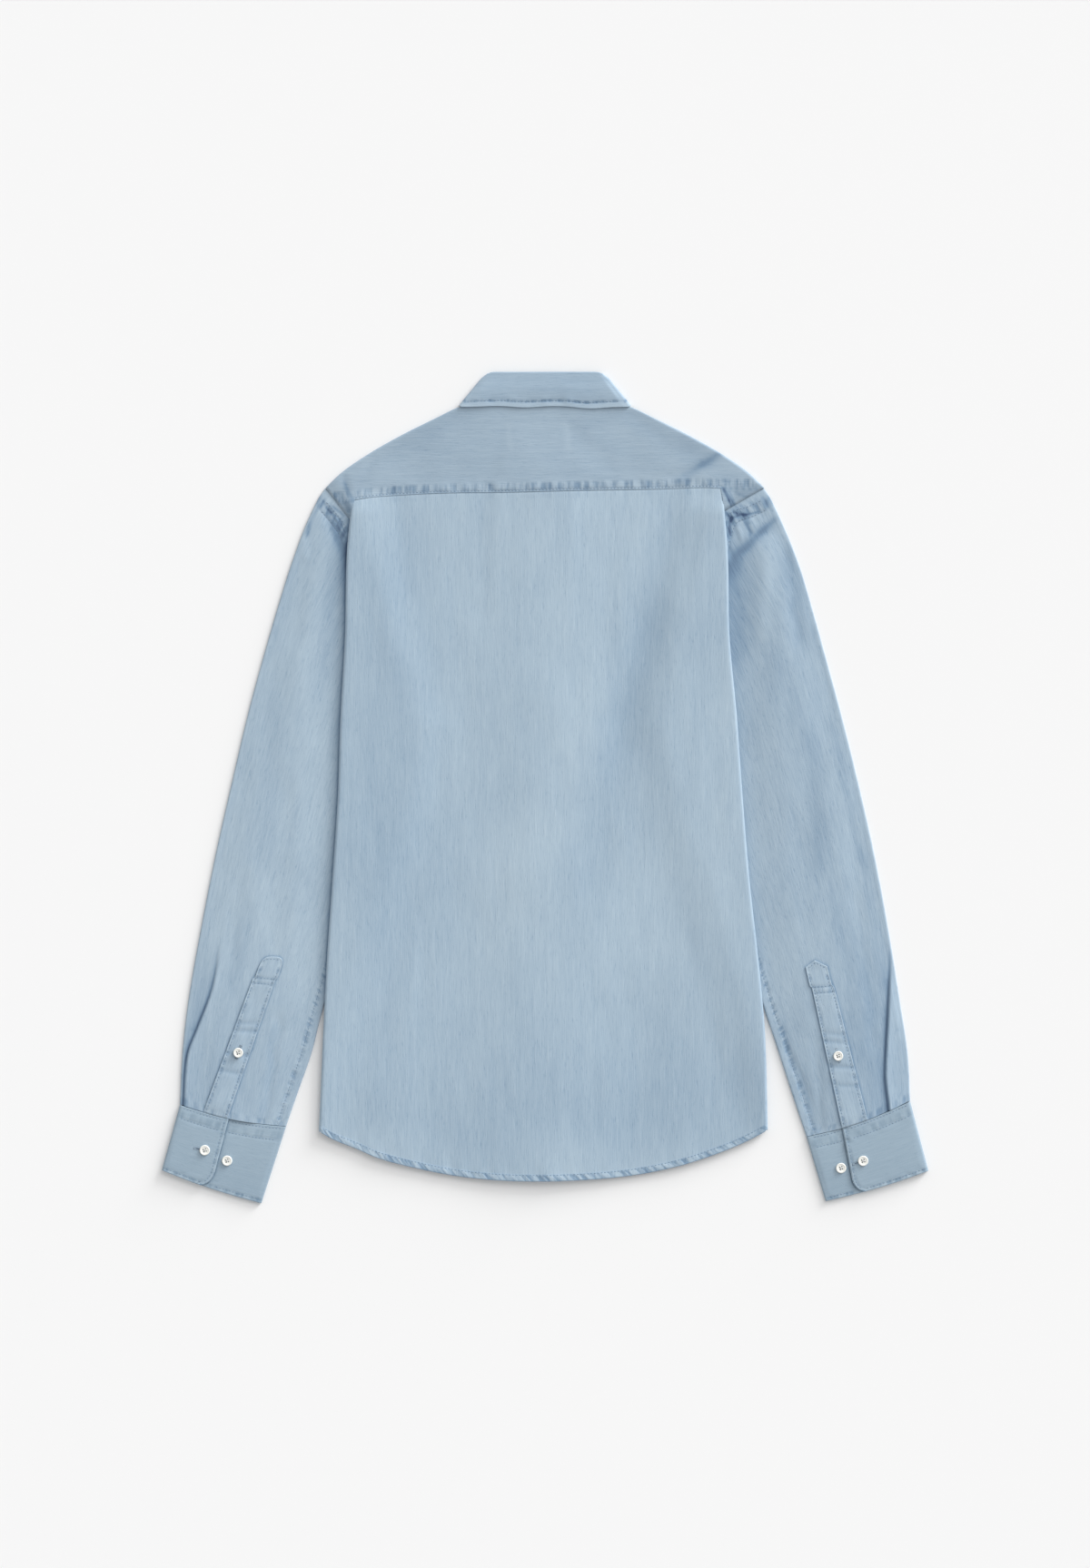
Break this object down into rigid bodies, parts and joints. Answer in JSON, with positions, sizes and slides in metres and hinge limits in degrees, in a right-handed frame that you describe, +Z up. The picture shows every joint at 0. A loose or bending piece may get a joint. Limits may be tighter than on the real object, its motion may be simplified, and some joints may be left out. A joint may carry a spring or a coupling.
{
  "type": "denim shirt",
  "caption": "Long-sleeved light denim shirt with a collar, back yoke, curved hem and buttoned cuffs, laid flat face down.",
  "frame": {"origin": "middle of the laid shirt's outline, on the surface that it lies on", "axes": "+Y from the hem to the collar, +X across the shirt to the right cuff as seen from above, +Z up from the surface"},
  "size_m": [0.7422, 0.807, 0.0087],
  "materials": {
    "denim": "washed light blue denim, matt",
    "denim_sleeve": "washed light blue denim, matt",
    "denim_cuff": "washed light blue denim, matt",
    "thread": "pale blue sewing thread",
    "button": "white, soft gloss"
  },
  "bodies": {
    "root": {"back_panel": "denim", "yoke": "denim", "front_left": "denim", "front_right": "denim", "front_placket": "denim", "collar_leaf": "denim", "collar_stand": "denim", "sleeve_left": "denim_sleeve", "sleeve_placket_left": "denim_sleeve", "cuff_left": "denim_cuff", "button_left_placket": "button", "button_left_cuff_outer": "button", "button_left_cuff_inner": "button", "sleeve_right": "denim_sleeve", "sleeve_placket_right": "denim_sleeve", "cuff_right": "denim_cuff", "button_right_placket": "button", "button_right_cuff_outer": "button", "button_right_cuff_inner": "button", "button_front_1": "button", "button_front_2": "button", "button_front_3": "button", "button_front_4": "button", "button_front_5": "button", "button_front_6": "button", "button_front_7": "button", "button_collar": "button"}
  },
  "joints": []
}
